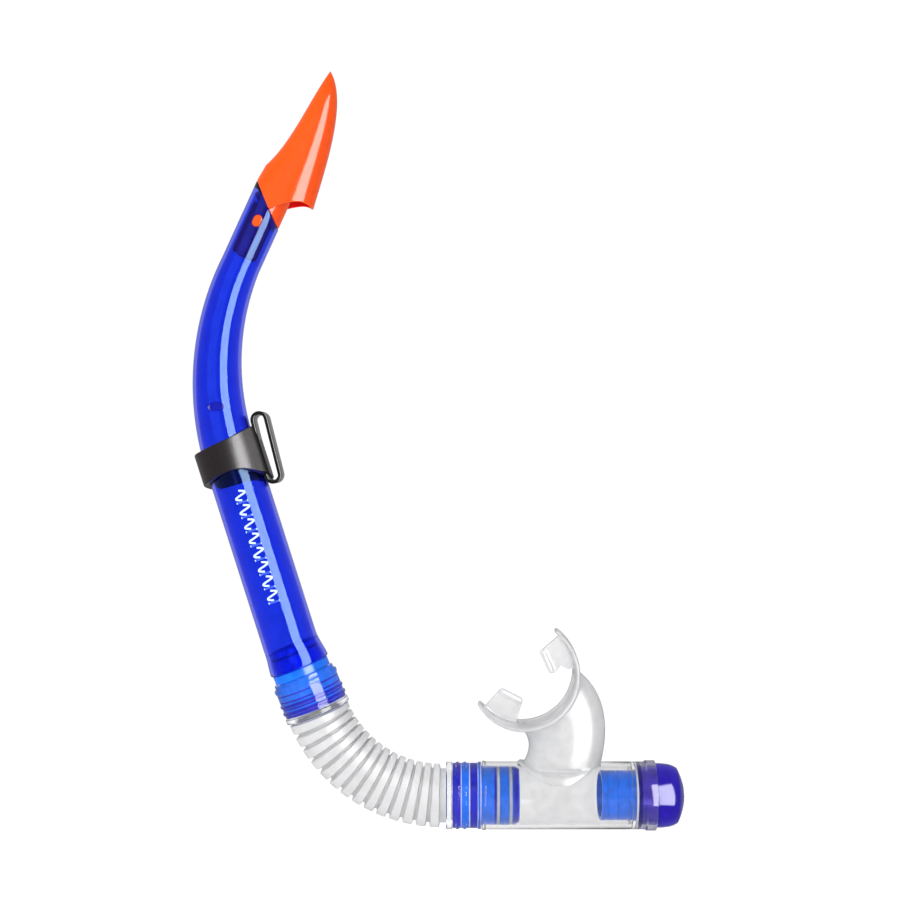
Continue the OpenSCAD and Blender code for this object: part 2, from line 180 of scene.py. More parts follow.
def bezier(p, t):
    s = 1 - t
    return s ** 3 * p[0] + 3 * s * s * t * p[1] + 3 * s * t * t * p[2] + t ** 3 * p[3]


def oval(c, u, a, b, n=64, power=2.0):
    """A ring about c, half-width a along u and half-depth b along Y."""
    def bend(v):
        return math.copysign(abs(v) ** (2 / power), v)
    return [c + u * (a * bend(x)) + AXIS_Y * (b * bend(y)) for x, y in (on_circle(i, n) for i in range(n))]


def oval_between(l, r, b, wall=0.0, n=64, power=2.0):
    """An oval from l to r and half-depth b, smaller by wall all round."""
    span = r - l
    return oval((l + r) / 2, span.normalized(), span.length / 2 - wall, b - wall, n, power)


def extrude(name, matrix, outline, low, high, materials, angle=32):
    """An outline in the frame's XY, from z low to z high."""
    verts, faces, _ = skin([[matrix @ Vector((p[0], p[1], z)) for p in outline] for z in (low, high)])
    return build(name, verts, faces, materials, angle=angle)


def bevel(obj, width, segments=2, angle=35):
    """Rounds the edges sharper than angle; width is in millimetres."""
    m = obj.modifiers.new("bevel", "BEVEL")
    m.width, m.segments, m.limit_method, m.angle_limit = width * MM, segments, "ANGLE", math.radians(angle)
    apply(obj)
    shade(obj)


def apply(obj):
    """Bakes the modifiers into the mesh."""
    scene.view_layers[0].update()
    made = bpy.data.meshes.new_from_object(obj.evaluated_get(bpy.context.evaluated_depsgraph_get()))
    made.name = obj.name
    obj.modifiers.clear()
    obj.data = made


def cut_out(obj, cutter):
    """Cuts one object out of another and removes the cutter."""
    m = obj.modifiers.new("cut", "BOOLEAN")
    m.operation, m.object, m.solver = "DIFFERENCE", cutter, "EXACT"
    apply(obj)
    bpy.data.objects.remove(cutter)


def join(name, objs):
    """One object made of several closed pieces; the first one's materials come first."""
    main = objs[0]
    with bpy.context.temp_override(active_object=main, selected_editable_objects=objs, object=main):
        bpy.ops.object.join()
    main.name = main.data.name = name
    return main


def tube_between(name, points, radius, materials, n=20):
    """A round bar along points, with flat ends."""
    rings = []
    for i, p in enumerate(points):
        t = (points[min(i + 1, len(points) - 1)] - points[max(i - 1, 0)]).normalized()
        side = t.cross(AXIS_Y)
        side = side.normalized() if side.length > 1e-6 else Vector((1, 0, 0))
        up = side.cross(t).normalized()
        rings.append([p + side * (radius * x) + up * (radius * y) for x, y in (on_circle(k, n) for k in range(n))])
    verts, faces, slots = skin(rings)
    return build(name, verts, faces, materials, slots, angle=60)


def stadium(r, half, n=24):
    """Two half circles of radius r, their centres half above and half below the middle."""
    points = []
    for start, middle in ((0, half), (math.pi, -half)):
        turns = [start + math.pi * k / n for k in range(n + 1)]
        points += [(r * math.cos(a), middle + r * math.sin(a)) for a in turns]
    return points


# ---- Materials ----


def material(name, colour, rough=0.3, clear=0.0, ior=1.46, edge=None, edge_at=0.5, grain=350, grain_bump=0.02,
             rough_spread=0.05, tone=0.04, coat=0.0, sss=0.0, shine=0.5):
    """One Principled shader; noise varies its tone, roughness and surface. Edge is the colour at grazing angles."""
    m = bpy.data.materials.new(name)
    m.use_nodes = True
    nodes, links = m.node_tree.nodes, m.node_tree.links
    shader = nodes["Principled BSDF"]
    shader.inputs["Transmission Weight"].default_value = clear
    shader.inputs["IOR"].default_value = ior
    shader.inputs["Coat Weight"].default_value = coat
    shader.inputs["Specular IOR Level"].default_value = shine
    shader.inputs["Subsurface Weight"].default_value = sss
    shader.inputs["Subsurface Scale"].default_value = 0.002
    place_node = nodes.new("ShaderNodeTexCoord")
    noise = nodes.new("ShaderNodeTexNoise")
    noise.inputs["Scale"].default_value = grain
    noise.inputs["Detail"].default_value = 4
    links.new(place_node.outputs["Object"], noise.inputs["Vector"])
    spread = nodes.new("ShaderNodeMapRange")
    spread.inputs["To Min"].default_value = max(0.0, rough - rough_spread)
    spread.inputs["To Max"].default_value = rough + rough_spread
    links.new(noise.outputs["Fac"], spread.inputs["Value"])
    links.new(spread.outputs["Result"], shader.inputs["Roughness"])
    bump = nodes.new("ShaderNodeBump")
    bump.inputs["Strength"].default_value = grain_bump
    bump.inputs["Distance"].default_value = 0.0004
    links.new(noise.outputs["Fac"], bump.inputs["Height"])
    links.new(bump.outputs["Normal"], shader.inputs["Normal"])
    ramp = nodes.new("ShaderNodeValToRGB")
    ramp.color_ramp.elements[0].position, ramp.color_ramp.elements[1].position = 0.35, 0.65
    ramp.color_ramp.elements[0].color = [c * (1 - tone) for c in colour] + [1]
    ramp.color_ramp.elements[1].color = [min(1, c * (1 + tone)) for c in colour] + [1]
    links.new(noise.outputs["Fac"], ramp.inputs["Fac"])
    top = ramp.outputs["Color"]
    if edge:
        weight = nodes.new("ShaderNodeLayerWeight")
        weight.inputs["Blend"].default_value = edge_at
        mix = nodes.new("ShaderNodeMix")
        mix.data_type = "RGBA"
        links.new(weight.outputs["Facing"], mix.inputs["Factor"])
        links.new(top, mix.inputs[6])
        mix.inputs[7].default_value = (*edge, 1)
        top = mix.outputs[2]
    links.new(top, shader.inputs["Base Color"])
    return m


BLUE = material("barrel_blue", (0.085, 0.165, 0.86), rough=0.05, clear=1.0, ior=1.45, edge=(0.20, 0.09, 0.62),
                edge_at=0.30, rough_spread=0.02, grain=120, grain_bump=0.03)
# The barrel's highlight is light blue and weak, not white
blue_shader = BLUE.node_tree.nodes["Principled BSDF"]
blue_shader.inputs["Specular IOR Level"].default_value = 0.35
blue_shader.inputs["Specular Tint"].default_value = (0.45, 0.68, 1.0, 1)
# The stop is the barrel's plastic in a deeper blue: painted shade, for the dark that its steep sides show
STOP_SHADED_BLUE = material("barrel_stop", (0.03, 0.045, 0.62), rough=0.08, clear=0.8, ior=1.45, grain=120)
PRINT = material("print_white", (0.62, 0.80, 0.96), rough=0.35, grain=600)
ORANGE = material("guard_orange", (0.90, 0.085, 0.006), rough=0.14, sss=0.03, grain=260, shine=0.35)
# The guard's inside is a deeper red than its outside: painted shade inside the hood and collar
ORANGE_SHADED_IN = material("guard_inside_painted_shade", (0.85, 0.006, 0.006), rough=0.4, grain=260, shine=0.2)
TONGUE_DARK = material("tongue_in_shade", (0.90, 0.05, 0.15), rough=0.4, grain=260)
RUBBER = material("keeper_rubber", (0.015, 0.011, 0.013), rough=0.30, grain=900, grain_bump=0.12, tone=0.15)
BLACK = material("clip_black", (0.005, 0.005, 0.006), rough=0.16, coat=0.3, grain=400)
AZURE = material("connector_azure", (0.003, 0.155, 0.86), rough=0.2, grain=300, tone=0.15, shine=0.4)
DEEP = material("connector_deep", (0.008, 0.008, 0.50), rough=0.2, grain=300, tone=0.2, shine=0.4)
# Pale blue bands on the lower connector: painted highlights, the shine of the cuff's ribs
PALE_HIGHLIGHT = material("connector_painted_highlight", (0.55, 0.64, 0.88), rough=0.3, grain=300, tone=0.1, shine=0.4)
CLEAR = material("clear_plastic", (0.86, 0.86, 0.865), rough=0.05, clear=1.0, ior=1.44, edge=(0.60, 0.60, 0.62),
                 edge_at=0.32, rough_spread=0.02, grain=160, grain_bump=0.04)
CUFF = material("cuff_silicone", (0.93, 0.935, 0.95), rough=0.08, clear=1.0, ior=1.41, edge=(0.74, 0.74, 0.78),
                edge_at=0.3, rough_spread=0.03, grain=220, grain_bump=0.05)
SILICONE = material("clear_silicone", (0.77, 0.77, 0.775), rough=0.22, clear=0.45, ior=1.41, edge=(0.66, 0.66, 0.68),
                    edge_at=0.32, rough_spread=0.06, grain=220, grain_bump=0.06)
FROSTED = material("frosted_silicone", (0.80, 0.80, 0.805), rough=0.36, clear=0.4, ior=1.41, edge=(0.78, 0.78, 0.79),
                   edge_at=0.35, rough_spread=0.08, grain=200, grain_bump=0.08, shine=0.35)
VIOLET = material("cover_violet", (0.016, 0.006, 0.33), rough=0.12, ior=1.46, grain=240, tone=0.12)
# A brighter copy of the cap's violet for its neck: painted light
NECK_LIT = material("cover_neck_painted_light", (0.09, 0.05, 0.66), rough=0.25, grain=240, tone=0.12)
# Near black for the walls of the cap's holes: painted shade inside them
HOLE_SHADE = material("cover_holes_painted_shade", (0.008, 0.004, 0.09), rough=0.5, grain=400)
SEAL = material("seal_rubber", (0.80, 0.82, 0.86), rough=0.4, grain=500, clear=0.3)


def finish_piece(obj, body, slot, *nodes):
    """Puts a piece on its body and hides the nodes of the part that it stands for; slot is not used."""
    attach(obj, body)
    if nodes:
        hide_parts(*nodes)
    return obj


# ---- Barrel ----


def barrel_stations():
    """(centre, lean, radius, share of the slanted edge) from the bell's lip to the slanted top."""
    out = []
    for s, extra in ((0, 0), (1, 0.02), (2.5, -0.1), (4, -0.3), (6, -0.62), (8, -0.95), (10, -1.2), (12, -1.38)):
        out.append((BELL - s * down(BELL_LEAN), BELL_LEAN, BELL_R + extra, 0))
    for k in range(1, 6):
        lean = BELL_LEAN + (LOW_LEAN - BELL_LEAN) * k / 5
        t = (k / 5 - 0.5) * 8
        side = down(BELL_LEAN) if t < 0 else down(LOW_LEAN)
        out.append((ELBOW - t * side, lean, BARREL_R + 0.1 * (1 - k / 5), 0))
    for k in range(1, 13):
        out.append((ELBOW.lerp(BEND_LOW, 0.05 + 0.95 * k / 12), LOW_LEAN, BARREL_R, 0))
    for k in range(1, 41):
        lean = LOW_LEAN + (TOP_LEAN - LOW_LEAN) * k / 40
        out.append((BEND_C - BEND_R * right(lean), lean, BARREL_R + (TOP_R - BARREL_R) * k / 40, 0))
    for k in range(1, 11):
        out.append((BEND_TOP.lerp(EDGE, k / 10), TOP_LEAN, TOP_R, k / 10))
    return out


def barrel_ring(station, inset, lift=0.0, n=128):
    centre, lean, r, share = station
    ring = []
    for i in range(n):
        a = 2 * math.pi * i / n
        x = (r - inset) * math.cos(a)
        up = lift - x * math.tan(EDGE_SLOPE) * share
        ring.append(centre + right(lean) * x + AXIS_Y * ((r - inset) * math.sin(a)) - down(lean) * up)
    return ring


stations = barrel_stations()
rings = [barrel_ring(stations[0], 0.35), barrel_ring(stations[0], 0.08, 0.15)]
rings += [barrel_ring(s, 0, 0.5 if i == 0 else 0) for i, s in enumerate(stations[:-1])]
rings += [barrel_ring(stations[-1], 0, -0.55), barrel_ring(stations[-1], 0.5, -0.02)]
rings += [barrel_ring(stations[-1], WALL - 0.3, -0.02), barrel_ring(stations[-1], WALL, -0.35)]
rings += [barrel_ring(s, WALL) for s in reversed(stations[1:-1])]
rings += [barrel_ring(stations[0], WALL, 0.5), barrel_ring(stations[0], WALL - 0.3, 0)]
verts, faces, _ = skin(rings, closed=True)
barrel = build("barrel_tube", verts, faces, [BLUE], angle=40)
PIP_AT = AT_EDGE @ Matrix.Translation((0, 0, -PIP_DROP)) @ Matrix.Rotation(math.radians(-90), 4, "X")
cut_out(barrel, extrude("pip_hole", PIP_AT, stadium(2.7, 0.85), -20, 20, [BLUE]))
shade(barrel, 40)
finish_piece(barrel, "barrel", "barrel_blue", "barrel")

# A raised, D-shaped stop above the keeper: a rim round a shallow hollow, in a deeper blue than the barrel that is
# painted shade
STOP_LEAN = 7.5
AT_STOP = place(BEND_C - BEND_R * right(STOP_LEAN), STOP_LEAN) @ Matrix.Rotation(math.radians(90), 4, "X")
STOP_W, STOP_H, STOP_RIM = 4.5, 2.8, 0.8
STOP_LOW, STOP_FLOOR, STOP_TOP = 13.4, 15.1, 15.55


def stop_outline(inset):
    """Half an oval on a narrower foot, as seen from the front."""
    w, h = STOP_W - inset, STOP_H - inset
    top = [(w * math.cos(math.pi * k / 24), h * math.sin(math.pi * k / 24)) for k in range(25)]
    return rounded([Vector(p) for p in top] + [Vector((-w * 0.8, -h * 0.8)), Vector((w * 0.8, -h * 0.8))], 0.8, 4)


stop = extrude("barrel_stop", AT_STOP, stop_outline(0), STOP_LOW, STOP_TOP, [STOP_SHADED_BLUE])
cut_out(stop, extrude("hollow", AT_STOP, stop_outline(STOP_RIM), STOP_FLOOR, STOP_TOP + 0.95, [STOP_SHADED_BLUE]))
bevel(stop, 0.25, 3)
finish_piece(stop, "barrel", "barrel_blue")


def print_patch(outline, lift=0.03, depth=0.05):
    """A thin patch that lies on the barrel's front; outline is (across, along) in the straight's frame."""
    verts = []
    for r in (BARREL_R + lift, BARREL_R + lift + depth):
        for across, along in outline:
            a = across / BARREL_R - math.pi / 2
            p = BEND_LOW + down(LOW_LEAN) * along
            verts.append(p + right(LOW_LEAN) * (r * math.cos(a)) + AXIS_Y * (r * math.sin(a)))
    n = len(outline)
    faces = [tuple(range(n)), tuple(range(2 * n - 1, n - 1, -1))]
    faces += [(i, (i + 1) % n, n + (i + 1) % n, n + i) for i in range(n)]
    return verts, faces


marks_v, marks_f = [], []


def stroke(points, width=1.05, overlap=0.18):
    """Adds a run of short patches along points, each a little longer than its step."""
    for (x0, y0), (x1, y1) in zip(points, points[1:]):
        d = Vector((x1 - x0, y1 - y0)).normalized() * overlap
        s = Vector((-d.y, d.x)).normalized() * width / 2
        v, f = print_patch([(x0 - d.x + s.x, y0 - d.y + s.y), (x1 + d.x + s.x, y1 + d.y + s.y),
                            (x1 + d.x - s.x, y1 + d.y - s.y), (x0 - d.x - s.x, y0 - d.y - s.y)])
        f = [tuple(i + len(marks_v) for i in q) for q in f]
        marks_v.extend(v)
        marks_f.extend(f)


# A plain pattern along the straight: one wave and one bar across, repeated
MARKS, MARK_START, MARK_PITCH = 8, 21.5, 8.1
WAVE_MIDDLE, WAVE_HALF, WAVE_LEN, BAR_HALF, BAR_AT = 0.4, 2.9, 5.4, 3.0, 6.4
for k in range(MARKS):
    y = MARK_START + k * MARK_PITCH
    stroke([(WAVE_MIDDLE + WAVE_HALF * on_circle(t, 12)[1], y + WAVE_LEN * t / 12) for t in range(13)])
    stroke([(WAVE_MIDDLE - BAR_HALF, y + BAR_AT), (WAVE_MIDDLE + BAR_HALF, y + BAR_AT)])
barrel_print = build("barrel_print", marks_v, marks_f, [PRINT])
finish_piece(barrel_print, "barrel", "barrel_blue")


# ---- Splash guard ----

# The hood's left and right outlines, and the edge of its mouth, in the frame of the barrel's top
TIP = Vector((0.8, 0, 81.2))
KINK = Vector((-9.9, 0, 19.4))
LEFT = [KINK, Vector((-2, 0, 37)), Vector((-3, 0, 62)), TIP]
RIGHT = [Vector((23.7, 0, 7.7)), Vector((20.3, 0, 33)), Vector((16.5, 0, 70.5)), TIP]
HOOD_HALF, HOOD_POWER, HOOD_SIDES = 11.6, 2.15, 96
LIP_X, LIP_START = 23.7, 3.2
LIP = [(LIP_START, -2.75), (7, 1.6), (11.2, 5.2), (16.6, 8.3), (21, 8.9), (LIP_X, 8.0)]


def hood_half(t):
    """The hood's half-depth, which narrows towards the tip and closes there."""
    return HOOD_HALF * math.sqrt(max(0.0, (1 - 0.93 * t ** 1.6) * (1 - t ** 6)))


def through(points, x):
    """Height at x of a smooth curve through points (Catmull-Rom)."""
    i = max(k for k in range(len(points) - 1) if x >= points[k][0] or k == 0)
    (x0, y0), (x1, y1) = points[i], points[i + 1]
    before, after = points[max(i - 1, 0)], points[min(i + 2, len(points) - 1)]
    h = x1 - x0
    t = min(max((x - x0) / h, 0.0), 1.0)
    m0 = h * (y1 - before[1]) / (x1 - before[0])
    m1 = h * (after[1] - y0) / (after[0] - x0)
    return ((1 + 2 * t) * (1 - t) ** 2 * y0 + t * (1 - t) ** 2 * m0 + t * t * (3 - 2 * t) * y1
            - t * t * (1 - t) * m1)


def mouth_height(x):
    """The hood meets the barrel's slanted edge on the left and arches over the mouth on the right."""
    return 0.2 - x * math.tan(EDGE_SLOPE) if x < LIP_START else through(LIP, x)


def mouth_ring(wall):
    """The hood's lowest ring: an oval that is nowhere narrower than the barrel's top."""
    middle, reach = (LIP_X - TOP_R) / 2, (LIP_X + TOP_R) / 2
    ring = []
    for p in oval(Vector((middle, 0, 0)), Vector((1, 0, 0)), reach - wall, HOOD_HALF - wall, HOOD_SIDES, HOOD_POWER):
        y = max(abs(p.y), math.sqrt(max(0.0, (TOP_R - wall) ** 2 - p.x ** 2)))
        ring.append(Vector((p.x, math.copysign(y, p.y), mouth_height(p.x))))
    return ring


def hood_rings(wall, inside=False):
    """Rings from the mouth to the tip; the inside stops where the walls would meet."""
    low = mouth_ring(wall)
    start = 0.10
    kink = oval_between(KINK, bezier(RIGHT, start), HOOD_HALF, wall, HOOD_SIDES, HOOD_POWER)
    rings = [[a.lerp(b, k / 6) for a, b in zip(low, kink)] for k in range(6)]
    steps = 56
    for k in range(steps + 1):
        t = 0.9995 * math.sin(math.pi / 2 * k / steps)  # just short of the tip, with the rings closer there
        l, r = bezier(LEFT, t), bezier(RIGHT, start + (1 - start) * t)
        if inside and (r - l).length < 2 * wall + 1.6:
            break
        half = max(hood_half(t), wall + 0.6 if inside else 0.15)
        rings.append(oval_between(l, r, half, wall, HOOD_SIDES, HOOD_POWER))
    return rings


HOOD_WALL = 1.6
outer, inner = hood_rings(0), hood_rings(HOOD_WALL, inside=True)
rim = [a.lerp(b, 0.5) - Vector((0, 0, 0.35 if a.x > LIP_START else 0)) for a, b in zip(outer[0], inner[0])]


def shell(name, outer, inner, rim, materials):
    """A hood open at its low end: outer skin, rounded rim, inner skin of the second material, a deeper red that is
    painted shade.
    """
    rings = [[AT_EDGE @ p for p in r] for r in list(reversed(inner)) + [rim] + outer]
    slots = [1] * len(inner) + [0] * (len(outer) + 1)
    verts, faces, face_slots = skin(rings, slots=slots)
    face_slots[-2] = 1  # the cap at the top of the inner skin
    return build(name, verts, faces, materials, face_slots, angle=38)


hood = shell("splash_guard", outer, inner, rim, [ORANGE, ORANGE_SHADED_IN])


def slanted(r, lift, n=96):
    """A ring in the plane of the barrel's slanted edge, moved up by lift."""
    return [AT_EDGE @ Vector((r * c, r * s, lift - r * c * math.tan(EDGE_SLOPE)))
            for c, s in (on_circle(i, n) for i in range(n))]


def level(r, z, n=96):
    """A ring square to the barrel's top."""
    return [AT_EDGE @ Vector((r * c, r * s, z)) for c, s in (on_circle(i, n) for i in range(n))]


# The collar: a tube inside the hood that goes on into the barrel as a spigot; its inner faces wear the hood's painted
# shade
IN_R, SPIGOT_OUT = 7.9, TOP_R - WALL - 0.08
COLLAR_R, COLLAR_TOP, SPIGOT_LOW = TOP_R - 0.2, 12, -4.85
collar_rings = [slanted(SPIGOT_OUT, 0.15), slanted(COLLAR_R - 0.35, 0.15), slanted(COLLAR_R, 0.55)]
top_ring = level(COLLAR_R, COLLAR_TOP - 0.5)
for k in range(1, 6):
    collar_rings.append([a.lerp(b, k / 5) for a, b in zip(slanted(COLLAR_R, 0.55), top_ring)])
collar_rings += [level(COLLAR_R - 0.5, COLLAR_TOP), level(IN_R, COLLAR_TOP), slanted(IN_R, 0.15),
                 slanted(IN_R, SPIGOT_LOW + 0.25), slanted(IN_R + 0.2, SPIGOT_LOW),
                 slanted(SPIGOT_OUT - 0.2, SPIGOT_LOW), slanted(SPIGOT_OUT, SPIGOT_LOW + 0.25)]
verts, faces, slots = skin(collar_rings, closed=True, slots=[0] * 8 + [1] * (len(collar_rings) - 12) + [2] * 4)
collar = build("guard_collar", verts, faces, [ORANGE, ORANGE_SHADED_IN, TONGUE_DARK], slots, angle=38)
guard = join("splash_guard", [hood, collar])
finish_piece(guard, "barrel", "guard_orange", "splash_guard")


# The tongue stops below the joint, so that no corner of it swings out into the barrel when it is pressed
TONGUE_TOP = -1.7


def tongue(side):
    """A curved spring tongue below the spigot, rounded at its end, with the pip that sits in the barrel's hole."""
    where = "front" if side < 0 else "back"
    name = f"tongue_{where}"
    out_r, in_r = SPIGOT_OUT - 0.1, IN_R
    half, end, corner = 6.25, -31.6, 2.6
    columns = 24
    rings = []
    for i in range(columns + 1):
        x = -half + 2 * half * i / columns
        over = max(0, abs(x) - (half - corner))
        low = end + corner - math.sqrt(max(0, corner ** 2 - over ** 2))
        high = TONGUE_TOP - max(0, x * math.tan(EDGE_SLOPE))
        ring = []
        heights = [low + (high - low) * k / 16 for k in range(17)]
        for r, order in ((out_r, heights), (in_r, heights[::-1])):
            y = side * math.sqrt(r * r - x * x)
            ring += [AT_EDGE @ Vector((x, y, z)) for z in order]
        rings.append(ring)
    verts, faces, slots = skin(rings)
    flat = build(name, verts, faces, [TONGUE_DARK, ORANGE], slots)
    pip_low, pip_high = sorted((side * (in_r + 0.4), side * (TOP_R + 0.45)))
    pip = extrude(name + "_pip", PIP_AT, stadium(2.3, 0.85), pip_low, pip_high, [ORANGE])
    bevel(pip, 0.3, 2)
    finish_piece(join(name, [flat, pip]), name, "guard_orange", f"guard_tongue_{where}")


tongue(-1)
tongue(1)


# ---- Strap keeper ----


def along_table(table, x):
    """Value at x on the straight lines between points."""
    if x <= table[0][0]:
        return table[0][1]
    for (x0, y0), (x1, y1) in zip(table, table[1:]):
        if x <= x1:
            return y0 + (y1 - y0) * (x - x0) / (x1 - x0)
    return table[-1][1]


# The band's upper and lower edges as (across, up), drawn on the side that faces the viewer
BAND_TOP = [(-19, 13.0), (-15.5, 12.0), (-12, 11.7), (-4, 11.9), (3.5, 12.7), (9, 14.2), (13, 15.8), (18.4, 17.6)]
BAND_LOW = [(-19.5, -4.1), (-15.7, -5.6), (-8.1, -4.7), (2.2, -4.3), (7.9, -5.2), (15.8, -8.5), (18.5, -9.5)]
BAND_R, PLATE_X, PLATE_HALF = 18.9, 18.3, 9.8


def band_outer(a):
    """Distance of the band's outside from the barrel's axis: round, with a flat plate to the right."""
    d = abs((a + math.pi) % (2 * math.pi) - math.pi)
    corner = math.atan2(PLATE_HALF, PLATE_X)
    touch = corner + math.acos(BAND_R / math.hypot(PLATE_X, PLATE_HALF))
    if d < corner:
        return PLATE_X / math.cos(d)
    if d < touch:
        return BAND_R / math.cos(d - touch)
    return BAND_R


def eased(f, a, width=0.09):
    """The mean of f around a, which rounds its corners."""
    return sum(f(a + width * k / 4) for k in range(-4, 5)) / 9


def band_height(table, x):
    return sum(along_table(table, x + d) for d in (-2, -1, 0, 1, 2)) / 5


BAND_STEPS, BAND_IN, BAND_TILT = 160, BARREL_R + 0.13, 3.7
band_rings = []
for i in range(BAND_STEPS):
    a = 2 * math.pi * i / BAND_STEPS
    r_out = eased(band_outer, a)
    x, y = r_out * math.cos(a), r_out * math.sin(a)
    drop = -BAND_TILT * (1 + y / BAND_R)
    top, low = band_height(BAND_TOP, x) + drop, band_height(BAND_LOW, x) + drop
    profile = rounded([(r_out, low), (r_out, top), (BAND_IN, top), (BAND_IN, low)], 0.55, 3)
    band_rings.append([AT_KEEPER @ Vector((p.x * math.cos(a), p.x * math.sin(a), p.y)) for p in profile])
verts, faces, _ = skin(band_rings, closed=True)
band = build("keeper_band_strap", verts, faces, [RUBBER], angle=50)
finish_piece(band, "keeper", "keeper_rubber", "keeper_band")

# The clip: an open hook, bent from a flat strip in the XZ plane
CLIP_HALF, CLIP_MID, CLIP_T, CLIP_DEPTH, CLIP_END = 15.6, 3.7, 2.0, 17.0, 1.5


def clip_turn(end):
    """Half a circle at the clip's upper (1) or lower (-1) end."""
    turns = [math.pi * k / 16 for k in range(1, 17)]
    return [Vector((-end * CLIP_MID * math.cos(a), 0, end * (CLIP_HALF + CLIP_MID * math.sin(a)))) for a in turns]


path = [Vector((-CLIP_MID, 0, z)) for z in (5, 8, 12, CLIP_HALF)] + clip_turn(1)
path += [Vector((CLIP_MID, 0, CLIP_HALF - 2 * CLIP_HALF * k / 8)) for k in range(1, 9)] + clip_turn(-1)
path += [Vector((-CLIP_MID, 0, CLIP_END - CLIP_HALF))]
half_t, half_deep = CLIP_T / 2, CLIP_DEPTH / 2
section = rounded([(-half_t, -half_deep), (half_t, -half_deep), (half_t, half_deep), (-half_t, half_deep)], 0.5, 3)
clip_rings = []
for i, p in enumerate(path):
    t = (path[min(i + 1, len(path) - 1)] - path[max(i - 1, 0)]).normalized()
    side = Vector((-t.z, 0, t.x))
    clip_rings.append([AT_CLIP @ (p + side * s.x + AXIS_Y * s.y) for s in section])
verts, faces, _ = skin(clip_rings)
clip = build("keeper_clip_strip", verts, faces, [BLACK], angle=50)
finish_piece(clip, "keeper", "clip_black", "keeper_clip")


# ---- Upper coupling ----


def split_at(profile, cuts):
    """A closed profile with a point added wherever an edge crosses one of the heights."""
    out = []
    for a, b in zip(profile, profile[1:] + profile[:1]):
        out.append(a)
        low, high = sorted((a[1], b[1]))
        crossed = sorted((z for z in cuts if low + 0.01 < z < high - 0.01), reverse=a[1] > b[1])
        out += [(a[0] + (b[0] - a[0]) * (z - a[1]) / (b[1] - a[1]), z) for z in crossed]
    return out


def banded(name, matrix, profile, bands, materials, bore):
    """A turned piece whose outside wears another material in bands of (low, high, slot)."""
    outside = bore + 0.8

    def slot_of(r, z):
        return next((slot for low, high, slot in bands if low < z < high and r > outside), 0)

    cuts = sorted({z for low, high, _ in bands for z in (low, high)})
    return lathe(name, matrix, split_at(profile, cuts), materials, slot_of=slot_of)


# Profiles from here on are (radius, height), with the height along the frame's Z
DUCT_R_IN = 11.6
upper_profile = [(DUCT_R_IN, 12), (13.2, 12), (13.35, 11.6), (13.35, 8.75), (12.25, 8.7), (12.25, 7.3), (13.35, 7.25),
                 (13.35, -0.4), (15.6, -0.4), (15.8, -0.7), (15.8, -4.7), (15.6, -5.0), (14.15, -5.0),
                 (14.1, -24.3), (13.9, -24.5), (DUCT_R_IN, -24.5)]
UPPER_BANDS = [(-12.3, -11.5, 1), (-16, -15, 1), (-20, -17.5, 1), (-24.6, -21, 1)]
upper = banded("upper_connector_body", AT_BELL, upper_profile, UPPER_BANDS, [AZURE, DEEP], DUCT_R_IN)
finish_piece(upper, "barrel", "connector_azure", "upper_connector")


CUFF_IN, CUFF_CORNER = 14.05, 0.3


def cuff_profile(points, low, high):
    return rounded([(CUFF_IN, low)] + points + [(CUFF_IN, high)], CUFF_CORNER, 4)


upper_cuff = lathe("hose_cuff_upper_sleeve", AT_BELL, cuff_profile([
    (17.9, -CUFF_LEN), (18.2, -27.0), (18.2, -25.0), (17.5, -24.6), (17.5, -22.6), (18.2, -22.2), (18.2, -21.0),
    (17.5, -20.6), (17.5, -18.6), (18.2, -18.2), (18.2, -17.0), (17.6, -16.6), (17.6, -10.5), (18.1, -10.0),
    (18.1, -8.2), (17.0, -7.4), (16.9, -5.3)], -CUFF_LEN, -5.3), [CUFF])
finish_piece(upper_cuff, "hose", "clear_silicone", "hose_cuff_upper")


# ---- Corrugated hose ----

HOSE_OUT, HOSE_DROP, HOSE_WALL, RIBS, PER_RIB, SIDES = 17.1, 2.5, 1.7, 14, 20, 96
RIB_EDGE = 0.09


def smooth_step(t):
    t = min(max(t, 0.0), 1.0)
    return t * t * (3 - 2 * t)


def rib_height(u):
    """Share of a rib's height at u across it, from groove to groove: squared, with round corners."""
    return min(smooth_step((u - RIB_EDGE) / RIB_EDGE), smooth_step((1 - RIB_EDGE - u) / RIB_EDGE))


def hose_ring(share, r):
    """A ring at a share of the arc, from 0 at the top to 1 at the low end."""
    lean = BELL_LEAN + (90 - BELL_LEAN) * share
    return oval(HOSE_C - HOSE_R * right(lean), right(lean), r, r, SIDES)


outer_rings, inner_rings = [], []
for k in range(RIBS * PER_RIB + 1):
    h = rib_height((k % PER_RIB) / PER_RIB)
    share = k / (RIBS * PER_RIB)
    r_out = HOSE_OUT - HOSE_DROP * (1 - h)
    outer_rings.append(hose_ring(share, r_out))
    inner_rings.append(hose_ring(share, r_out - HOSE_WALL * (1 - 0.22 * h) - 0.1))
tail_r = HOSE_OUT - HOSE_DROP
tail_out, tail_in = (oval(HOSE_END, right(90), r, r, SIDES) for r in (tail_r, tail_r - HOSE_WALL))
verts, faces, _ = skin(outer_rings + [tail_out, tail_in] + inner_rings[::-1], closed=True)
hose = build("corrugated_hose_tube", verts, faces, [FROSTED], angle=60)
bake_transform(hose)
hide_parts("corrugated_hose")


# ---- Lower coupling ----

lower_cuff = lathe("hose_cuff_lower_sleeve", AT_CHAMBER, cuff_profile([
    (17.9, 0.0), (18.2, 0.5), (18.2, 3.0), (17.6, 3.4), (17.6, 5.2), (18.2, 5.6), (18.2, 6.8), (17.6, 7.2),
    (17.6, 9.2), (18.2, 9.6), (18.2, 10.8), (17.6, 11.2), (17.6, 17.2), (18.2, 17.7), (18.2, 19.3)],
    0.0, 19.4), [CUFF])
finish_piece(lower_cuff, "lower_joint", "clear_silicone", "hose_cuff_lower")

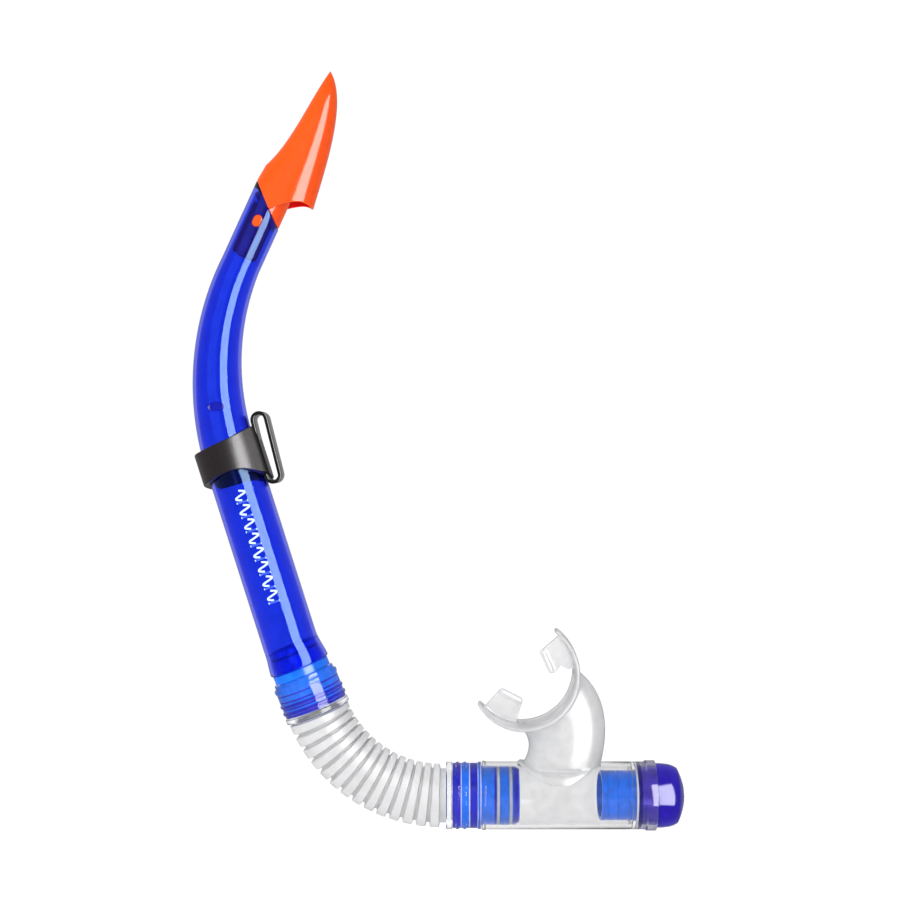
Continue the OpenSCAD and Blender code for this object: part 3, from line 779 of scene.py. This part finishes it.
JOURNAL_R, GROOVE_R, O_RING_Z, JOURNAL_END = 16.05, 14.2, (28.4, 35.2), 40.0
connector_profile = [(DUCT_R_IN, 3.4), (14.0, 3.4), (14.2, 3.7), (14.2, 19.4), (JOURNAL_R - 0.2, 19.4),
                     (JOURNAL_R, 19.6)]
for z in O_RING_Z:
    connector_profile += [(JOURNAL_R, z - 1), (GROOVE_R, z - 1), (GROOVE_R, z + 1), (JOURNAL_R, z + 1)]
connector_profile += [(JOURNAL_R, JOURNAL_END - 2.8), (JOURNAL_R - 1.4, JOURNAL_END - 0.3),
                      (JOURNAL_R - 1.8, JOURNAL_END), (DUCT_R_IN, JOURNAL_END)]
# The bands in slot 2 are pale lines of painted highlight under the cuff's ribs
LOWER_BANDS = [(3.3, 8, 1), (8, 8.5, 2), (12.5, 13.1, 2), (13.1, 17.2, 1), (17.2, 17.9, 2), (18.6, 19.3, 2),
               (26.2, 27.3, 1), (36.7, 39.4, 1)]
connector = banded("hose_connector_body", AT_CHAMBER, connector_profile, LOWER_BANDS, [AZURE, DEEP, PALE_HIGHLIGHT], DUCT_R_IN)
finish_piece(connector, "lower_joint", "connector_azure", "hose_connector")


# ---- Chamber ----

# The tube with a lip at its near end, a collar at its far end, and a ledge inside for the valve seat
C_OUT, C_IN, Z0, Z1 = 18.3, 16.1, 19.8, 114.7
LEDGE, LEDGE_R = Z1 - 11.2, 14.2
chamber_profile = rounded([
    (C_IN, Z0), (C_OUT + 0.4, Z0), (C_OUT + 0.4, Z0 + 1.4), (C_OUT, Z0 + 1.9), (C_OUT, Z1 - 5.8),
    (C_OUT + 0.7, Z1 - 5.2), (C_OUT + 0.7, Z1), (C_IN, Z1), (C_IN, LEDGE), (LEDGE_R, LEDGE),
    (LEDGE_R, LEDGE - 2), (C_IN, LEDGE - 2)], 0.35, 4)
chamber = lathe("chamber_tube", AT_CHAMBER, chamber_profile, [CLEAR])
PORT_Z = 61.6
AT_PORT = Matrix.Translation(HOSE_END + Vector((PORT_Z, 0, 0)))
port_outline = [(y, x) for x, y in stadium(8.5, 9.0)]
cut_out(chamber, extrude("port", AT_PORT, port_outline, 8, 30, [CLEAR]))
shade(chamber, 35)
finish_piece(chamber, "chamber", "clear_plastic", "chamber")


# ---- Purge valve ----

SEAT_Z, WEB, SEAT_IN, SEAT_OUT, SEAT_LEN = LEDGE + 0.9, 2.2, 11.8, 13.6, 18.5
seat_points = [(SEAT_IN, LEDGE - SEAT_LEN), (SEAT_OUT, LEDGE - SEAT_LEN)]
for groove in (16, 10.5, 4):
    seat_points += [(SEAT_OUT, LEDGE - groove), (SEAT_OUT - 0.5, LEDGE - groove + 0.1),
                    (SEAT_OUT - 0.5, LEDGE - groove + 0.9), (SEAT_OUT, LEDGE - groove + 1)]
seat_points += [(SEAT_OUT, SEAT_Z), (C_IN, SEAT_Z), (C_IN, SEAT_Z + WEB), (SEAT_IN, SEAT_Z + WEB)]
seat_profile = rounded(seat_points, 0.15, 2)
seat = lathe("valve_seat_sleeve", AT_CHAMBER, seat_profile, [AZURE, VIOLET],
             slot_of=lambda r, z: 1 if z > SEAT_Z - 0.2 else 0)


def web_ring(name, inner_r, outer_r, seg):
    """A flat ring of the seat's web."""
    low, high = SEAT_Z, SEAT_Z + WEB
    return lathe(name, AT_CHAMBER, [(inner_r, low), (outer_r, low), (outer_r, high), (inner_r, high)], [AZURE], seg)


SPOKES, SPOKE_IN, SPOKE_OUT, SPOKE_HALF = 6, 3.3, 9.7, 0.8
web = [web_ring("seat_rim", 9.6, 11.9, 112), web_ring("seat_hub", 1.25, 3.4, 48)]
spoke = [(SPOKE_IN, -SPOKE_HALF), (SPOKE_OUT, -SPOKE_HALF), (SPOKE_OUT, SPOKE_HALF), (SPOKE_IN, SPOKE_HALF)]
for k in range(SPOKES):
    turned = AT_CHAMBER @ Matrix.Rotation(2 * math.pi * k / SPOKES, 4, "Z")
    web.append(extrude(f"seat_spoke_{k}", turned, spoke, SEAT_Z, SEAT_Z + WEB, [AZURE]))
finish_piece(join("valve_seat_sleeve", [seat] + web), "chamber", "connector_azure", "valve_seat")

COVER_Z, COVER_R, COVER_LEN, COVER_WALL, DOME_R, DOME_H = Z1 + 0.1, 17.4, 15.9, 1.8, 14.9, 3.9


def cover_line(wall):
    """The cap's outline as (radius, height), from its foot over the rounded edge to near the dome's middle."""
    side, edge = COVER_R - wall, DOME_R - wall

    def dome(r):
        return COVER_LEN - DOME_H * (r / DOME_R) ** 2 - wall

    line = [(side, 0), (side, 3), (side - 0.4, 7), (side - 1.1, 9.5), (edge + 0.3, dome(edge) - 0.3)]
    return line + [(edge * (1 - k / 8), dome(edge * (1 - k / 8))) for k in range(8)]


# The cap's neck reaches into the chamber, down to the seat's flange; it wears a brighter copy of the cap's violet,
# painted light where it sits inside the clear chamber
NECK_IN, NECK_Z = 14.6, SEAT_Z + WEB
cover_profile = [(NECK_IN, NECK_Z), (C_IN, NECK_Z), (C_IN, COVER_Z)] + [(r, COVER_Z + z) for r, z in cover_line(0)]
cover_profile += [(0.0, COVER_Z + COVER_LEN), (0.0, COVER_Z + COVER_LEN - COVER_WALL)]
cover_profile += [(r, COVER_Z + z) for r, z in reversed(cover_line(COVER_WALL))] + [(NECK_IN, COVER_Z)]
cover = lathe("purge_cover_cap", AT_CHAMBER, cover_profile, [VIOLET, NECK_LIT, HOLE_SHADE], angle=28,
              slot_of=lambda r, z: 1 if z < COVER_Z - 0.1 else 0)
# One hole in the middle and a ring of holes round it, cut with a near-black material that is painted shade inside them
HOLE_R, HOLES_R, HOLES_AROUND = 1.6, 8.6, 8
centres = [(0, 0)] + [(HOLES_R * c, HOLES_R * s) for c, s in (on_circle(k, HOLES_AROUND) for k in range(HOLES_AROUND))]
holes = []
for x, y in centres:
    around = [(x + HOLE_R * c, y + HOLE_R * s) for c, s in (on_circle(j, 24) for j in range(24))]
    holes.append(extrude(f"hole_{len(holes)}", AT_CHAMBER, around, COVER_Z + 8, COVER_Z + 20, [HOLE_SHADE]))
cut_out(cover, join("holes", holes))
shade(cover, 28)
finish_piece(cover, "chamber", "cover_violet", "purge_cover")


# ---- Mouthpiece ----

FLANGE_C = HOSE_END + Vector((42.2, 0, 67.7))
MOUTH_A, FLANGE_R, FLANGE_SPAN, FLANGE_T, FLANGE_H = -46.3, 27.8, 98.6, 3.1, 18.5
# The duct's left and right outlines
DUCT_L = [HOSE_END + Vector(v) for v in ((41, 0, 16), (46.5, 0, 24), (47.5, 0, 31), (40.2, 0, 38.6))]
DUCT_R = [HOSE_END + Vector(v) for v in ((84.6, 0, 16), (88.5, 0, 32), (91.5, 0, 55), (71.4, 0, 69.6))]
DUCT_HALF, DUCT_POWER = 13, 2.4
TAB_IN, TAB_T, BEAD_R = 15.2, 4.0, 1.7


def duct(name, wall, first, last, steps=28):
    """A stretch of the duct between two shares of its length, smaller by wall all round."""
    rings = [oval_between(bezier(DUCT_L, t), bezier(DUCT_R, t), DUCT_HALF, wall, 64, DUCT_POWER)
             for t in [first + (last - first) * k / steps for k in range(steps + 1)]]
    verts, faces, slots = skin(rings)
    return build(name, verts, faces, [SILICONE], slots)


def along_mouth(name, outline, half):
    """An outline in the XZ plane about the flange's centre, half to each side in Y."""
    rings = [[FLANGE_C + Vector((p[0], y, p[1])) for p in outline] for y in (-half, half)]
    verts, faces, slots = skin(rings)
    return build(name, verts, faces, [SILICONE], slots)


def polar(r, a):
    """X and Z of a point at radius r and angle a in degrees."""
    return (r * math.cos(math.radians(a)), r * math.sin(math.radians(a)))


mouth = duct("mouthpiece_body", 0, 0, 1)
cut_out(mouth, along_mouth("bite_space", [polar(FLANGE_R, 360 * k / 96) for k in range(96)], 30))
flange_rings = []
for k in range(61):
    t = 2 * k / 60 - 1
    a = MOUTH_A + FLANGE_SPAN * t
    edge = 1 - abs(t) ** 5
    flange_rings.append(oval(FLANGE_C + (FLANGE_R + FLANGE_T / 2) * right(a), right(a),
                             FLANGE_T / 2 * (0.7 + 0.3 * edge), FLANGE_H * (0.45 + 0.55 * edge), 40, 3))
verts, faces, slots = skin(flange_rings)
parts = [mouth, build("flange", verts, faces, [SILICONE], slots)]
for side in (-1, 1):
    tab = along_mouth("tab", [polar(FLANGE_R + 1, MOUTH_A + side * 52), polar(FLANGE_R + 1, MOUTH_A + side * 92),
                              polar(TAB_IN, MOUTH_A + side * 97), polar(TAB_IN, MOUTH_A + side * 44)], TAB_T / 2)
    ends = [FLANGE_C + (TAB_IN + 1) * right(MOUTH_A + side * a) for a in (45, 96)]
    beads = [tube_between("bead", [ends[0].lerp(ends[1], 0.06 + 0.88 * t) + AXIS_Y * y for t in (0, 0.5, 1)],
                          BEAD_R, [SILICONE]) for y in (-1.3, 1.3)]
    parts += [tab] + beads

# The saddle: an oval pad that lies on the chamber
SADDLE_HALF_X, SADDLE_HALF_Y, SADDLE_T = 22.6, 17.0, 1.3
saddle_rings = []
for k in range(9):
    grow = 1 - 0.08 * (k / 8) ** 2
    r = C_OUT + 0.05 + SADDLE_T * k / 8
    ring = []
    for c, s in (on_circle(i, 96) for i in range(96)):
        x, y = SADDLE_HALF_X * grow * c, SADDLE_HALF_Y * grow * s
        ring.append(HOSE_END + Vector((PORT_Z + x, y, math.sqrt(max(0.5, r * r - y * y)))))
    saddle_rings.append(ring)
verts, faces, slots = skin(saddle_rings)
parts.append(build("saddle", verts, faces, [SILICONE], slots))

# The pieces are blended into one skin, then the duct's bore and the chamber's space are cut out of it
mouth = join("mouthpiece_body", parts)
remesh = mouth.modifiers.new("blend", "REMESH")
remesh.mode, remesh.voxel_size = "VOXEL", 0.0005
apply(mouth)
relax = mouth.modifiers.new("relax", "SMOOTH")
relax.factor, relax.iterations = 0.5, 6
apply(mouth)
cut_out(mouth, duct("bore", 2.4, -0.12, 1.1))
bore_rings = [oval(HOSE_END + Vector((x, 0, 0)), right(90), C_OUT + 0.03, C_OUT + 0.03, 128) for x in (20, 112)]
verts, faces, slots = skin(bore_rings)
cut_out(mouth, build("chamber_space", verts, faces, [SILICONE], slots))
while len(mouth.data.materials) > 1:
    mouth.data.materials.pop()
mouth.data.polygons.foreach_set("material_index", [0] * len(mouth.data.polygons))
shade(mouth, 50)
finish_piece(mouth, "chamber", "clear_silicone", "mouthpiece")


# ---- Pieces shown from the part itself ----

for node, skin_material, slot in (
    ("connector_o_ring_1", SEAL, "seal_rubber"), ("connector_o_ring_2", SEAL, "seal_rubber"),
    ("seat_gasket", SEAL, "seal_rubber"), ("barrel_seal", DEEP, "seal_rubber"),
    ("purge_diaphragm", SILICONE, "clear_silicone"),
):
    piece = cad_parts[node]
    piece.data.materials.clear()
    piece.data.materials.append(skin_material)
    shade(piece)


# ---- Stage, light and camera ----

# From here on in metres
FLOOR_Z, FLOOR_R = -0.42, 8.0
disc = [(FLOOR_R * c, FLOOR_R * s, FLOOR_Z) for c, s in (on_circle(k, 64) for k in range(64))]
floor_mesh = bpy.data.meshes.new("floor")
floor_mesh.from_pydata(disc, [], [tuple(range(64))])
floor = bpy.data.objects.new("floor", floor_mesh)
scene.collection.objects.link(floor)
floor_mesh.materials.append(material("floor_pale", (0.94, 0.94, 0.94), rough=0.8, grain=8, tone=0.01, grain_bump=0.0,
                                     shine=0.0))
# In glossy rays the floor lays a white veil over the straight part of the barrel
floor.visible_glossy = False

# The studio is white behind the object and dimmer behind the camera, and dimmer still in reflections
world = bpy.data.worlds.new("studio")
scene.world = world
world.use_nodes = True
sky, sky_links = world.node_tree.nodes, world.node_tree.links


def product(a, b):
    """A node output that multiplies two others."""
    node = sky.new("ShaderNodeMath")
    node.operation = "MULTIPLY"
    sky_links.new(a, node.inputs[0])
    sky_links.new(b, node.inputs[1])
    return node.outputs[0]


def ramp_of(value, **limits):
    """A node output that maps a value from one range to another."""
    node = sky.new("ShaderNodeMapRange")
    for key, number in limits.items():
        node.inputs[key.replace("_", " ")].default_value = number
    sky_links.new(value, node.inputs["Value"])
    return node.outputs["Result"]


where = sky.new("ShaderNodeTexCoord")
split = sky.new("ShaderNodeSeparateXYZ")
sky_links.new(where.outputs["Generated"], split.inputs["Vector"])
rays = sky.new("ShaderNodeLightPath")
mirrored = product(rays.outputs["Is Glossy Ray"], rays.outputs["Is Reflection Ray"])
strength = product(ramp_of(split.outputs["Y"], From_Min=-0.7, From_Max=0.5, To_Min=0.45, To_Max=1.02),
                   ramp_of(mirrored, To_Min=1.0, To_Max=0.35))
sky_links.new(strength, sky["Background"].inputs["Strength"])
sky["Background"].inputs["Color"].default_value = (1, 1, 1, 1)
scene.view_settings.view_transform = "Standard"

# The point that the camera faces
CENTRE = Vector((0.1042, 0, -0.00524))


def soft_light(name, at, size, size_y, power, look=CENTRE, diffuse=True, glossy=True):
    """An area light aimed at look; diffuse lights matt surfaces and insides, glossy shows in reflections."""
    data = bpy.data.lights.new(name, "AREA")
    data.shape, data.size, data.size_y, data.energy = "RECTANGLE", size, size_y, power
    light = bpy.data.objects.new(name, data)
    light.location = at
    light.rotation_euler = (look - Vector(at)).to_track_quat("-Z", "Y").to_euler()
    light.visible_diffuse, light.visible_glossy, light.visible_transmission = diffuse, glossy, diffuse
    scene.collection.objects.link(light)


soft_light("strip", (0.58, -0.80, 0.05), 0.62, 1.3, 42, look=Vector((0, 0, 0)), diffuse=False)
soft_light("fill", (-0.5, -1.2, 0.5), 1.2, 1.2, 15, glossy=False)
sun_data = bpy.data.lights.new("overhead", "SUN")
sun_data.energy, sun_data.angle = 1.05, math.radians(80)
sun = bpy.data.objects.new("overhead", sun_data)
sun.rotation_euler = (math.radians(-12), 0, 0)
sun.visible_glossy = sun.visible_transmission = False
scene.collection.objects.link(sun)

camera_data = bpy.data.cameras.new("photo")
camera_data.sensor_width, camera_data.lens = 36, 64.45
camera_data.clip_start, camera_data.clip_end = 0.01, 20
camera = bpy.data.objects.new("photo", camera_data)
camera.location = (CENTRE.x, -0.9, CENTRE.z)
camera.rotation_euler = (math.radians(90), 0, 0)
scene.collection.objects.link(camera)
scene.camera = camera
